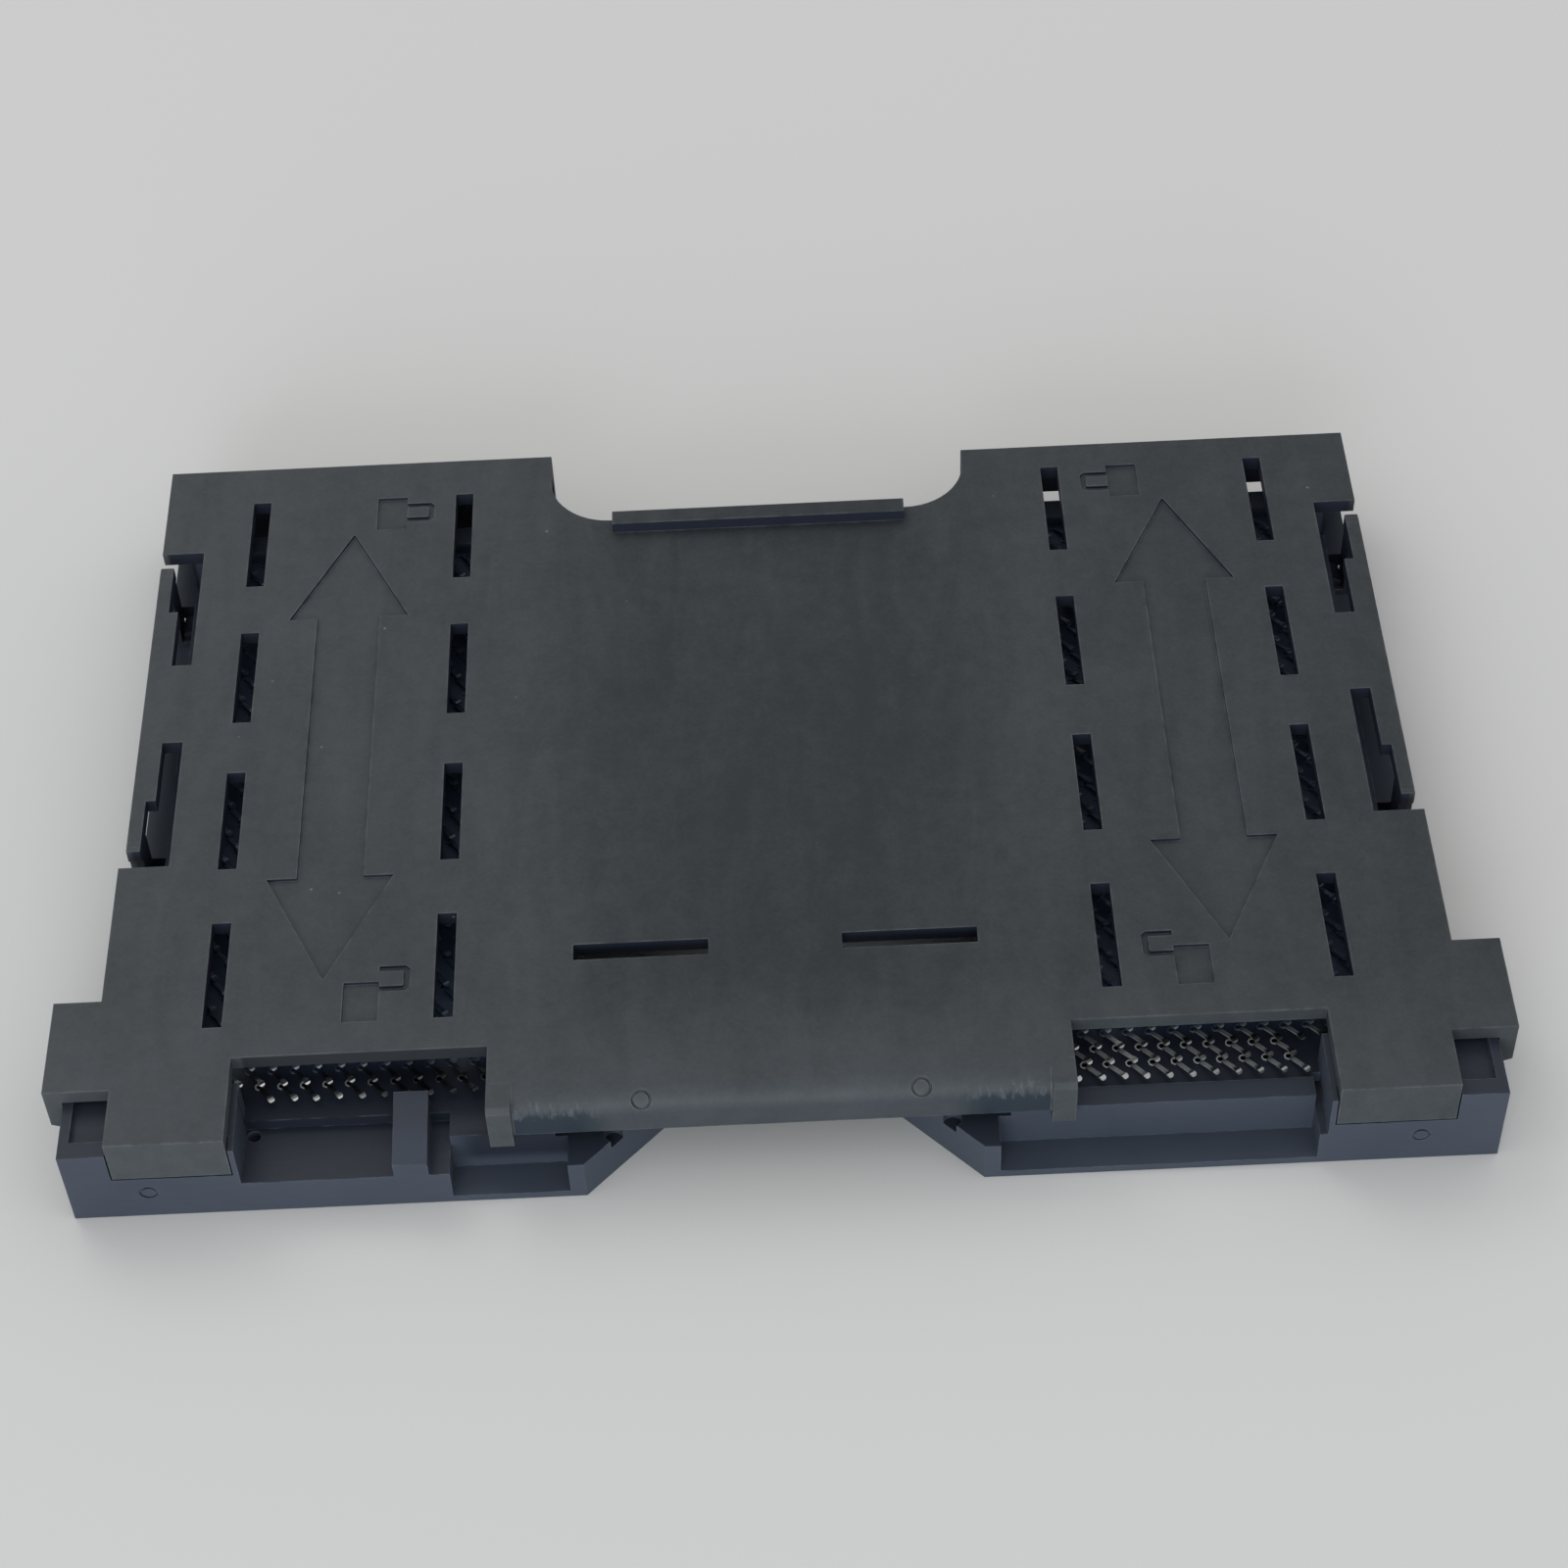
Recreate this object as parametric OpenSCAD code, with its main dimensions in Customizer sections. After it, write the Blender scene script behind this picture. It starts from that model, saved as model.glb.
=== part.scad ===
// One half of a two-piece land grid array processor socket, with its pick-up cap on.
// Lengths are in millimetres. X runs along the seam face, Y from the seam face to the rear,
// Z up from the board. The modules below measure Y from the seam face and in_row_frame()
// centres the whole part on the origin, standing on Z = 0.

/* [Contact field] */
// Distance between contacts along a row
pitch_x = 0.9906; // [0.95:0.0002:1.03]
// Distance from one row to the next
pitch_y = 0.8585; // [0.84:0.0005:0.9]
// Rows of contacts
rows = 40; // [32:1:41]
// Contacts in a full row
row_contacts = 54; // [44:1:54]
// Seam face to the first row
first_row_y = 3.25; // [3.2:0.05:3.4]
// Height of a contact's tip above the floor
contact_h = 0.5; // [0.4:0.05:0.8]
// Width of a contact's blade
contact_w = 0.18; // [0.12:0.01:0.22]
// Length of a contact in plan, root to tip
contact_l = 1.3; // [0.9:0.02:1.4]
// Length of the root that stands on the floor
contact_root = 0.3; // [0.2:0.01:0.4]
// Length of the narrow tip
contact_tip = 0.18; // [0.08:0.01:0.2]
// Way the blades lean in plan, clockwise from +X
contact_lean = 56; // [50:1:60]
// Clearance between the contacts and the walls around them
field_gap = 0.1; // [0.05:0.01:0.2]
// Diameter of a solder ball
ball_d = 0.6; // [0.5:0.01:0.6]

/* [Housing] */
// Width over the two front corner blocks
block_span = 62; // [60:0.1:64]
// Thickness of the side walls, beside the contact field
side_wall = 0.95; // [0.8:0.05:1.1]
// Thickness of the rear wall
rear_wall = 1.15; // [1:0.05:1.5]
// Board to the floor that the contacts stand on
floor_z = 2.65; // [2.4:0.05:2.9]
// Height of the sill in front of the first row on the right arm
sill_h = 0.12; // [0.05:0.01:0.2]
// Depth of that sill
sill_d = 1; // [0.8:0.05:1.1]
// Board to the underside of the floor, held up by the rim
rim_h = 0.62; // [0.6:0.01:0.7]
// Width of the rim that stands on the board
rim_w = 1; // [0.7:0.05:1.1]
// Board to the top of the corner blocks, where the cap rests
block_h = 4.46; // [4.2:0.02:4.8]
// Depth of the corner blocks
block_d = 8; // [7.9:0.05:8.6]
// Depth of the solid front part of a corner block
block_front_d = 3.6; // [3.3:0.05:3.9]
// Inner side of the corner blocks, from the middle
block_in_x = 23.45; // [23.2:0.05:23.5]
// Bare floor kept between the corner blocks and the contacts
block_margin = 0.25; // [0.1:0.05:0.5]
// Depth of the pocket in the top of each corner block
pocket_depth = 0.3; // [0.2:0.05:1]
// Rim left beside and behind that pocket
pocket_rim = 0.45; // [0.4:0.05:0.8]
// Height of the rear wall above the board
rear_wall_h = 3.3; // [3:0.05:3.8]
// Length of the two tall rear corner posts along X
post_l = 2.2; // [1.5:0.1:3]
// Length of the two tall rear corner posts along Y
post_d = 2.7; // [2:0.1:2.8]

/* [Housing front] */
// Half width of the central cavity
cavity_x = 9.9; // [9:0.1:10.2]
// Rim of floor between the cavity and the nearest contact's middle
cavity_rim = 0.8; // [0.7:0.05:1.2]
// Seam face to the back of the central cavity
cavity_d = 20.3; // [18:0.1:22]
// Half gap between the arm-end lugs
lug_gap_x = 5.2; // [4.6:0.1:6]
// Half gap between the lugs' chamfers at the seam face
lug_front_x = 8.66; // [8:0.02:9.2]
// Depth of the lugs
lug_d = 6; // [5:0.1:7]
// Height of the lugs
lug_h = 2.28; // [2:0.02:2.5]
// Diameter of the round recess in each lug
lug_hole_d = 0.85; // [0.6:0.05:1]
// Depth of the round recess in each lug
lug_hole_depth = 0.5; // [0.2:0.05:0.8]
// Inner end of the two front recesses, from the middle
recess_in_x = 9.35; // [9.2:0.05:9.8]
// Depth of the two front recesses
recess_d = 1.57; // [1.3:0.01:1.7]
// Height of the flange left in front of the recesses
recess_h = 0.4; // [0.36:0.02:0.9]
// Outer end of the right recess, from the middle
right_recess_x = 23.1; // [21:0.1:23.1]
// Outer end of the left recess, from the middle
left_recess_x = 14.45; // [13:0.05:14.6]
// Height of the ledges beside the corner blocks and along the left arm's front
ledge_h = 2.05; // [1.8:0.05:2.3]
// Depth of those ledges
ledge_d = 2.85; // [2.7:0.01:2.9]
// Middle of the key rib on the left arm, from the middle
key_x = 16.1; // [15.8:0.05:16.4]
// Width of the key rib
key_w = 1.5; // [1.2:0.05:1.8]
// Depth of the key rib
key_d = 3.45; // [3:0.05:3.6]
// Board to the top of the key rib, at its back
key_h = 3.5; // [3:0.05:4.2]
// Board to the top of the key rib at the seam face, which its top slopes down to
key_front_h = 2.88; // [2.5:0.02:3]

/* [Cap plate] */
// Thickness of the plate
plate_t = 0.74; // [0.6:0.02:0.9]
// Half width of the plate in front of the latches
plate_front_x = 29.7; // [29.5:0.05:29.9]
// Half width of the plate at the latches
plate_rear_x = 29.45; // [29.2:0.05:29.6]
// Overhang of the right wing's rear edge past the housing
right_wing_over = 2; // [2:0.1:3]
// How much longer the left wing is
left_wing_extra = 0.9; // [0.2:0.1:1.2]
// Half width of the rear notch
notch_x = 10.3; // [9:0.1:11]
// Depth of the rear notch, from the right wing's rear edge
notch_d = 3.9; // [3.6:0.1:5]
// Radius of the notch's inner corners
notch_r = 3; // [2:0.1:3.2]
// Half length of the raised lip along the notch
lip_x = 7.2; // [5:0.1:7.2]
// Width of the lip
lip_w = 0.9; // [0.5:0.05:1.2]
// Height of the lip above the plate
lip_h = 0.6; // [0.3:0.05:0.8]
// Thickness of the rear skirts
skirt_t = 0.7; // [0.5:0.05:0.75]
// Board to the lower edge of the right wing's rear skirt
right_skirt_z = 2.7; // [2:0.1:3.2]
// Board to the lower edge of the left wing's rear skirt
left_skirt_z = 0.8; // [0.6:0.1:1.2]
// Slide of the cap from closed to open
travel = 1.2; // [0.8:0.05:1.25]

/* [Cap front] */
// Half width of the centre flange, and inner edge of the front openings
flange_x = 12.65; // [12:0.05:13]
// Seam face to the centre flange's outer face
flange_y = 1.1; // [0.9:0.05:1.2]
// Thickness of the flange, flaps and ears
flange_t = 0.75; // [0.5:0.01:0.77]
// Rounding of the flange's top edge
flange_r = 1; // [0.75:0.05:1.1]
// Fillet inside the flange's corner
inner_fillet = 0.3; // [0.1:0.05:0.5]
// Board to the flange's lower edge
flange_z = 3.15; // [2.9:0.05:3.4]
// Width of the two legs at the flange's ends
leg_w = 1.05; // [0.8:0.05:1.4]
// How far the legs stand out from the flange
leg_over = 0.22; // [0.1:0.02:0.4]
// From the cap's top down to the top of the legs
leg_drop = 0.25; // [0.1:0.05:1]
// Outer edge of the front openings, from the middle
opening_x = 23.75; // [23.7:0.01:23.8]
// Seam face to the back edge of the front openings
opening_d = 4.4; // [4:0.05:5]
// Outer edge of the corner flaps, from the middle
flap_x = 28.9; // [28:0.05:29]
// Board to the lower edge of the corner flaps
flap_z = 2.75; // [2.4:0.05:2.9]
// Clearance between the cap and the housing beside it
fit_gap = 0.06; // [0.05:0.01:0.12]
// Seam face to the front of the ears
ear_y = 2.95; // [2.9:0.05:3.3]
// Length of the ears along Y
ear_l = 4.9; // [4:0.1:5]
// Board to the ears' lower edge
ear_z = 2.6; // [2.4:0.05:3]
// Reach of the barb under each ear
ear_barb = 0.3; // [0.15:0.01:0.35]
// Height of that barb
ear_barb_h = 0.45; // [0.3:0.05:0.6]
// Rise of the ears' slanted lower edge
ear_slope = 0.3; // [0.1:0.05:0.5]

/* [Slots and latches] */
// Width of the long narrow slots
slot_w = 0.85; // [0.6:0.05:1]
// Length of the long narrow slots
slot_l = 5.85; // [5:0.05:6.2]
// Seam face to the middle of the first slots
slot_y = 9.05; // [8.8:0.05:9.3]
// Distance from one slot to the next
slot_pitch = 9.03; // [8.6:0.01:9.1]
// Outer column of slots, from the middle
slot_outer_x = 24.72; // [24:0.02:25.4]
// Inner column of slots, from the middle
slot_inner_x = 14.61; // [14:0.02:15.4]
// Middle of the crosswise slots, from the middle
cross_x = 5.96; // [5:0.02:6.5]
// Length of the crosswise slots
cross_l = 5.98; // [5:0.02:6.4]
// Seam face to the crosswise slots
cross_y = 9.4; // [8:0.05:11]
// Seam face to the middle between the front and rear latches
latch_mid_y = 25.6; // [25.4:0.05:25.8]
// From that middle to the arm's root
arm_root = 2.5; // [2.2:0.05:2.8]
// From that middle to the arm's step, where it gets thinner
arm_step = 6.1; // [5.6:0.05:6.6]
// From that middle to the arm's free end
arm_tip = 8.9; // [8.6:0.05:9.2]
// From that middle to the end of the slot
arm_slot_end = 10.1; // [10:0.05:10.15]
// Inner side of the latch slots, from the middle
arm_slot_x = 27.4; // [27:0.05:27.6]
// Inner side of the arm at its root, from the middle
arm_root_x = 28.35; // [28:0.05:28.5]
// Inner side of the arm at its tip, from the middle
arm_tip_x = 28.8; // [28.7:0.02:28.9]
// Length of each latch hook along Y
hook_l = 1.4; // [1.3:0.05:1.6]
// Board to the lower end of the hooks
hook_z = 1; // [0.8:0.05:1.4]
// Height of the hook's barb
hook_barb_h = 0.6; // [0.4:0.05:0.7]
// Height of the straight edge on that barb
hook_edge_h = 0.2; // [0.1:0.05:0.3]
// Height of the housing's catches
catch_h = 0.6; // [0.4:0.05:0.8]
// Reach of the housing's side shelves under the arms, from the middle
shelf_x = 29.25; // [28.9:0.05:29.35]
// Board to the top of those shelves
shelf_z = 2.6; // [2.3:0.05:3.6]
// Thickness of those shelves
shelf_t = 0.8; // [0.6:0.1:1.2]
// Length of the rear shelves, behind the rear hooks
rear_shelf_l = 3; // [2:0.1:3.2]

/* [Hidden] */
$fn = 48;
eps = 0.01;                                          // overlap of joined shapes and cuts
BALL_ROWS = 3;                                       // rows of solder balls in one node
BALL_NODES = ceil(rows / BALL_ROWS);

housing_color = [0.20, 0.23, 0.28];
cap_color = [0.26, 0.28, 0.29];
contact_color = [0.72, 0.66, 0.52];
ball_color = [0.70, 0.71, 0.72];

// Housing
contact_reach = contact_l / 2 * max(cos(contact_lean), sin(contact_lean)) + contact_w / 2;
field_margin = contact_reach + field_gap;            // from a contact's middle to a wall
field_x = (row_contacts / 2 - 1 / 4) * pitch_x;      // outermost contact, from the middle
last_row_y = first_row_y + (rows - 1) * pitch_y;
body_x = field_x + field_margin + side_wall;         // half width behind the corner blocks
body_d = last_row_y + field_margin + rear_wall;
block_x = block_span / 2;
lug_hole_x = (lug_front_x + lug_gap_x + lug_hole_d) / 2;
ball_room_x = body_x - rim_w;                        // hollow under the floor for the balls
ball_room_front = first_row_y - pitch_y / 2;
ball_room_rear = body_d - rim_w;

// Cap
cap_z = block_h;                                     // the cap's underside rests on the blocks
cap_top = cap_z + plate_t;
right_rear_y = body_d + right_wing_over;
left_rear_y = right_rear_y + left_wing_extra;
notch_y = right_rear_y - notch_d;
ear_leg_x = block_x + fit_gap;
ear_x = ear_leg_x + flange_t;
groove_d = ear_barb + fit_gap;
catch_gap = fit_gap / 2;
hook_barb_top = hook_z + hook_barb_h;
catch_z = hook_barb_top + catch_gap;
hook_places = [latch_mid_y - arm_tip, latch_mid_y + arm_tip - hook_l];

// Whole part
whole_d = left_rear_y;

function contact_node(i) = str("contact_row_", i < 10 ? "0" : "", i);
function ball_node(k) = str("solder_balls_", k < 10 ? "0" : "", k);

// Middle of contact j in row i; the rows are shifted by a quarter pitch, to +X and -X in turn.
function row_y(i) = first_row_y + (i - 1) * pitch_y;
function row_shift(i) = (i % 2 - 1 / 2) / 2;
function contact_x(i, j) = (j - (row_contacts - 1) / 2 + row_shift(i)) * pitch_x;

// Where a contact can stand: clear of the cavity, corner blocks, ledge and key rib.
function clear_of_cavity(x, y) =
    abs(x) > cavity_x + cavity_rim || y > cavity_d + cavity_rim;
function clear_of_block(x, y) =
    abs(x) < block_in_x - block_margin - contact_reach || y > block_front_d + contact_reach;
function clear_of_ledge(x, y) =
    x > 0 || y > ledge_d + contact_reach;
function clear_of_key(x, y) =
    abs(x + key_x) > key_w / 2 + contact_reach || y > key_d + contact_reach;
function stands(x, y) =
    clear_of_cavity(x, y) && clear_of_block(x, y) && clear_of_ledge(x, y) && clear_of_key(x, y);
function row_places(i) =
    [for (j = [0:row_contacts - 1])
        let (x = contact_x(i, j), y = row_y(i))
        if (stands(x, y)) [x, y]];

module in_row_frame() {
    translate([0, -whole_d / 2, 0]) children();
}

// A box between two corners.
module block(low, high) {
    translate(low) cube(high - low);
}

// A plan outline, raised between two heights.
module raise(low, high) {
    translate([0, 0, low]) linear_extrude(high - low) children();
}

// A side profile, drawn with Y to the right and Z up, run along X.
module run_x(low, high) {
    translate([low, 0, 0]) rotate([90, 0, 90]) linear_extrude(high - low) children();
}

// A front profile, drawn with X to the right and Z up, run along Y.
module run_y(low, high) {
    translate([0, high, 0]) rotate([90, 0, 0]) linear_extrude(high - low) children();
}

module both_sides() {
    children();
    mirror([1, 0, 0]) children();
}

// ---- Housing ----

module housing_outline() {
    difference() {
        union() {
            translate([-body_x, 0]) square([2 * body_x, body_d]);
            translate([-block_x, 0]) square([2 * block_x, block_d]);
        }
        translate([-cavity_x, lug_d]) square([2 * cavity_x, cavity_d - lug_d]);
        mouth_outline();
    }
}

// The mouth between the arm ends, chamfered to both lugs.
module mouth_outline() {
    chamfer = lug_front_x - lug_gap_x;
    polygon([
        [-lug_front_x - eps, -eps], [lug_front_x + eps, -eps], [lug_gap_x, chamfer],
        [lug_gap_x, lug_d + eps], [-lug_gap_x, lug_d + eps], [-lug_gap_x, chamfer]]);
}

// The hollow under the floor that leaves room for the solder balls.
module ball_room_outline() {
    difference() {
        translate([-ball_room_x, ball_room_front])
            square([2 * ball_room_x, ball_room_rear - ball_room_front]);
        translate([-cavity_x - cavity_rim / 2, 0])
            square([2 * cavity_x + cavity_rim, cavity_d + cavity_rim / 2]);
    }
}

module corner_block() {
    block([block_in_x, 0, floor_z - eps], [block_x, block_front_d, block_h]);
    block([body_x, block_front_d - eps, floor_z - eps], [block_x, block_d, block_h]);
}

module corner_cuts() {
    // notch for the cap's corner flap
    block([opening_x - fit_gap, -1, flap_z - fit_gap],
          [flap_x + fit_gap, flange_t + fit_gap, block_h + 1]);
    // pocket in the top, outboard of the flap
    block([flap_x - pocket_rim, flange_t + fit_gap, block_h - pocket_depth],
          [block_x - pocket_rim, block_d - pocket_rim, block_h + 1]);
    // groove that the ear's barb slides along
    block([block_x - groove_d, ear_y - travel - fit_gap, ear_z - fit_gap],
          [block_x + 1, block_d + 1, ear_z + ear_barb_h + fit_gap]);
}

module rear_wall_and_posts() {
    block([-body_x, body_d - rear_wall, floor_z - eps], [body_x, body_d, rear_wall_h]);
    both_sides() {
        block([body_x - post_l, body_d - rear_wall, floor_z - eps], [body_x, body_d, block_h]);
        block([body_x - side_wall, body_d - post_d, floor_z - eps], [body_x, body_d, block_h]);
    }
}

// The rib that keys this half, with a top that slopes down to the seam face.
module key_rib() {
    run_x(-key_x - key_w / 2, -key_x + key_w / 2)
        polygon([[0, rim_h], [key_d, rim_h], [key_d, key_h], [0, key_front_h]]);
}

// Catches on the body's sides that the cap's hooks lie under when it is closed.
module catches() {
    // the hook's overlap with its catch is less than the travel, so an open cap lifts off
    for (hook_y = hook_places)
        both_sides()
            run_y(hook_y + hook_l - travel + fit_gap, hook_y + hook_l)
                polygon([
                    [body_x - eps, catch_z], [arm_tip_x - fit_gap, catch_z],
                    [arm_tip_x - fit_gap, catch_z + catch_h / 2], [body_x - eps, catch_z + catch_h]]);
}

// Shelves on the body's sides that close the latch slots from below, clear of the hooks.
module shelves() {
    front = hook_places[0] + hook_l + 2 * fit_gap;
    middle = hook_places[1] - travel - 2 * fit_gap;
    rear = hook_places[1] + hook_l + 2 * fit_gap;
    both_sides() {
        block([body_x - eps, front, shelf_z - shelf_t], [shelf_x, middle, shelf_z]);
        block([body_x - eps, rear, shelf_z - shelf_t], [shelf_x, rear + rear_shelf_l, shelf_z]);
    }
}

module housing() {
    color(housing_color) in_row_frame() {
        difference() {
            union() {
                raise(0, floor_z) housing_outline();
                both_sides() corner_block();
                rear_wall_and_posts();
                catches();
                shelves();
                block([flange_x + fit_gap, recess_d, floor_z - eps],
                      [block_in_x, recess_d + sill_d, floor_z + sill_h]);
            }
            both_sides() corner_cuts();
            // lowered lugs at the arm ends
            block([-cavity_x, -1, lug_h], [cavity_x, lug_d + eps, floor_z + 1]);
            both_sides()
                translate([lug_hole_x, recess_d, lug_h - lug_hole_depth])
                    cylinder(h = floor_z, d = lug_hole_d);
            // deep front recesses
            block([recess_in_x, -1, recess_h], [right_recess_x, recess_d, floor_z + 1]);
            block([-left_recess_x, -1, recess_h], [-recess_in_x, recess_d, floor_z + 1]);
            // ledges along the left arm and beside the right block
            block([-block_in_x, -1, ledge_h], [-left_recess_x, ledge_d, floor_z + 1]);
            block([right_recess_x, -1, ledge_h], [block_in_x, ledge_d, floor_z + 1]);
            raise(-1, rim_h) ball_room_outline();
        }
        key_rib();
    }
}

// ---- Cap ----

module half_plate(rear_y) {
    polygon([
        [-eps, flange_y], [flange_x, flange_y], [flange_x, opening_d], [opening_x, opening_d],
        [opening_x, 0], [flap_x, 0], [flap_x, ear_y], [ear_x, ear_y], [ear_x, ear_y + ear_l],
        [plate_front_x, ear_y + ear_l], [plate_front_x, latch_mid_y - arm_slot_end],
        [plate_rear_x, latch_mid_y - arm_slot_end], [plate_rear_x, rear_y], [-eps, rear_y]]);
}

module notch_outline() {
    far = left_rear_y + 1;
    inner = notch_x - notch_r;
    translate([-notch_x, notch_y + notch_r]) square([2 * notch_x, far - notch_y - notch_r]);
    translate([-inner, notch_y]) square([2 * inner, far - notch_y]);
    for (side = [-1, 1])
        translate([side * inner, notch_y + notch_r]) circle(notch_r);
}

module slot_at(x, y, size) {
    translate([x, y]) square(size, center = true);
}

module slots() {
    for (x = [slot_inner_x, slot_outer_x], k = [0:3])
        slot_at(x, slot_y + k * slot_pitch, [slot_w, slot_l]);
    slot_at(cross_x, cross_y, [cross_l, slot_w]);
}

// The slot that frees the rear latch arm; the front one is its mirror image.
module latch_slot() {
    translate([0, latch_mid_y]) {
        translate([arm_slot_x, arm_root]) square([arm_root_x - arm_slot_x, arm_slot_end - arm_root]);
        translate([arm_slot_x, arm_step]) square([arm_tip_x - arm_slot_x, arm_slot_end - arm_step]);
        translate([arm_slot_x, arm_tip]) square([plate_front_x - arm_slot_x + 1, arm_slot_end - arm_tip]);
    }
}

module latch_slots() {
    latch_slot();
    translate([0, 2 * latch_mid_y]) mirror([0, 1, 0]) latch_slot();
}

module plate_outline() {
    difference() {
        union() {
            half_plate(right_rear_y);
            mirror([1, 0, 0]) half_plate(left_rear_y);
        }
        notch_outline();
        both_sides() {
            slots();
            latch_slots();
        }
    }
}

// The centre flange bends down in front with a rounded shoulder.
module flange_profile() {
    difference() {
        union() {
            translate([flange_y, cap_z]) square([opening_d - flange_y, plate_t]);
            translate([flange_y, flange_z]) square([flange_t, cap_top - flange_z]);
            translate([flange_y + flange_t - eps, cap_z - inner_fillet])
                difference() {
                    square(inner_fillet + eps);
                    translate([inner_fillet + eps, 0]) circle(inner_fillet);
                }
        }
        difference() {
            translate([flange_y - eps, cap_top - flange_r]) square(flange_r + 2 * eps);
            translate([flange_y + flange_r, cap_top - flange_r]) circle(flange_r);
        }
    }
}

// Each leg stands out from the flange and its rounded shoulder.
module flange() {
    run_x(-flange_x, flange_x) flange_profile();
    both_sides()
        block([flange_x - leg_w, flange_y - leg_over, floor_z],
              [flange_x, flange_y + flange_t, cap_top - leg_drop]);
}

module corner_flap() {
    block([opening_x, 0, flap_z], [flap_x, flange_t, cap_z + eps]);
}

// The ear's leg, with a slanted lower edge and a barb that slides in the housing's groove.
module ear_leg() {
    run_y(ear_y, ear_y + ear_l)
        polygon([
            [ear_leg_x, cap_z + eps], [ear_leg_x, ear_z + ear_barb_h],
            [ear_leg_x - ear_barb, ear_z + ear_barb_h], [ear_leg_x - ear_barb, ear_z + ear_barb_h / 2],
            [ear_leg_x, ear_z], [ear_x, ear_z + ear_slope], [ear_x, cap_z + eps]]);
}

// A latch hook under an arm's free end, between y and y + hook_l.
module hook(y) {
    run_y(y, y + hook_l)
        polygon([
            [arm_tip_x, cap_z + eps], [arm_tip_x, hook_barb_top], [body_x + fit_gap, hook_barb_top],
            [body_x + fit_gap, hook_barb_top - hook_edge_h], [arm_tip_x, hook_z],
            [plate_rear_x, hook_z], [plate_rear_x, cap_z + eps]]);
}

module skirts() {
    block([notch_x, right_rear_y - skirt_t, right_skirt_z], [plate_rear_x, right_rear_y, cap_z + eps]);
    block([-plate_rear_x, left_rear_y - skirt_t, left_skirt_z], [-notch_x, left_rear_y, cap_z + eps]);
}

module cap() {
    color(cap_color) in_row_frame() {
        difference() {
            raise(cap_z, cap_top) plate_outline();
            block([-flange_x, -1, cap_z - 1], [flange_x, opening_d - eps, cap_top + 1]);
        }
        flange();
        block([-lip_x, notch_y - lip_w, cap_top - eps], [lip_x, notch_y, cap_top + lip_h]);
        skirts();
        both_sides() {
            corner_flap();
            ear_leg();
            for (hook_y = hook_places) hook(hook_y);
        }
    }
}

// ---- Contacts and solder balls ----

// One stamped contact: a blade that stands on the floor and leans to a narrow tip.
module contact() {
    rotate(-contact_lean)
        translate([-contact_l / 2, 0, floor_z])
            run_y(-contact_w / 2, contact_w / 2)
                polygon([
                    [0, 0], [contact_root, 0],
                    [contact_l, contact_h], [contact_l - contact_tip, contact_h]]);
}

module contact_row(i) {
    color(contact_color) in_row_frame()
        for (place = row_places(i))
            translate([place.x, place.y, 0]) contact();
}

// A solder ball, hanging from the floor's underside.
module ball() {
    translate([0, 0, rim_h - ball_d / 2]) sphere(d = ball_d);
}

module solder_balls(k) {
    color(ball_color) in_row_frame()
        for (i = [(k - 1) * BALL_ROWS + 1 : min(k * BALL_ROWS, rows)], place = row_places(i))
            translate([place.x, place.y, 0]) ball();
}

housing();
cap();
for (i = [1:rows])
    contact_row(i);
for (k = [1:BALL_NODES])
    solder_balls(k);
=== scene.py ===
# %% [markdown]
# # Half of a processor socket, with its cap on
# The real object is one half of a two-piece socket. A near-black moulding holds about 1700
# leaning spring contacts, and a thin charcoal cap is clipped over them until the socket is used.
# The construction comes from a fixed frame. This file gives each piece its finished surface:
# softened edges, sunk signs, the contact field, the solder balls and their materials.

# %% Frame and units
import math

import bmesh
import bpy
import numpy as np
from mathutils import Matrix, Vector


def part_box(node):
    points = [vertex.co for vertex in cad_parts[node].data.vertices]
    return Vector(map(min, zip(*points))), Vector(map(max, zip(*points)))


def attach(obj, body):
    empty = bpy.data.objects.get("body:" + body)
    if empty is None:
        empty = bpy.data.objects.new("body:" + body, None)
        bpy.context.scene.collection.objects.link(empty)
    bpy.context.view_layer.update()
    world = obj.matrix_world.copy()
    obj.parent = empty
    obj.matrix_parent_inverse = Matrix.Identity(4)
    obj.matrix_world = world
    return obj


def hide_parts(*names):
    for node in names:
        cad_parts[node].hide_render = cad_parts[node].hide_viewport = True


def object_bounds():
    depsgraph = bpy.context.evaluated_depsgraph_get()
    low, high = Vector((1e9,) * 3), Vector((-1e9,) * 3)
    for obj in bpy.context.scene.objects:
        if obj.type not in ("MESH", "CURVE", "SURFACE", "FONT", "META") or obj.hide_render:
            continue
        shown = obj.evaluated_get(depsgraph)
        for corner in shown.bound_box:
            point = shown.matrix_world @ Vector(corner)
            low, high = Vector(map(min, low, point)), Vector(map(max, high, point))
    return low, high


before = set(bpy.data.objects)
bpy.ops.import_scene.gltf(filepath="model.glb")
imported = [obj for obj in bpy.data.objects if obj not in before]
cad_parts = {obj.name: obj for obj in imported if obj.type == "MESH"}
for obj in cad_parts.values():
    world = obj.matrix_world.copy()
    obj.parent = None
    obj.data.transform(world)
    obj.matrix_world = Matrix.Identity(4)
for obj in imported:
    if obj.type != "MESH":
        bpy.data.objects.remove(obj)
cad_low, cad_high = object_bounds()
MM = 0.001
print("frame box in mm:", [round(v / MM, 2) for v in (*cad_low, *cad_high)])

# %% [markdown]
# ## Where things are
# Every place below comes from the frame's own boxes, so a piece lands where the construction
# has it. Lengths here are millimetres, because a part this small is easier to read that way.
# `seam_y` is the front face, where the two halves of the socket meet. The cap's highest part is
# the lip at the rear, so the top of its plate lies lower by the lip's height.

# %% Main levels and places
def box_mm(node):
    """Lowest and highest corner of a frame node, in millimetres."""
    low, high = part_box(node)
    return low / MM, high / MM


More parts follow.
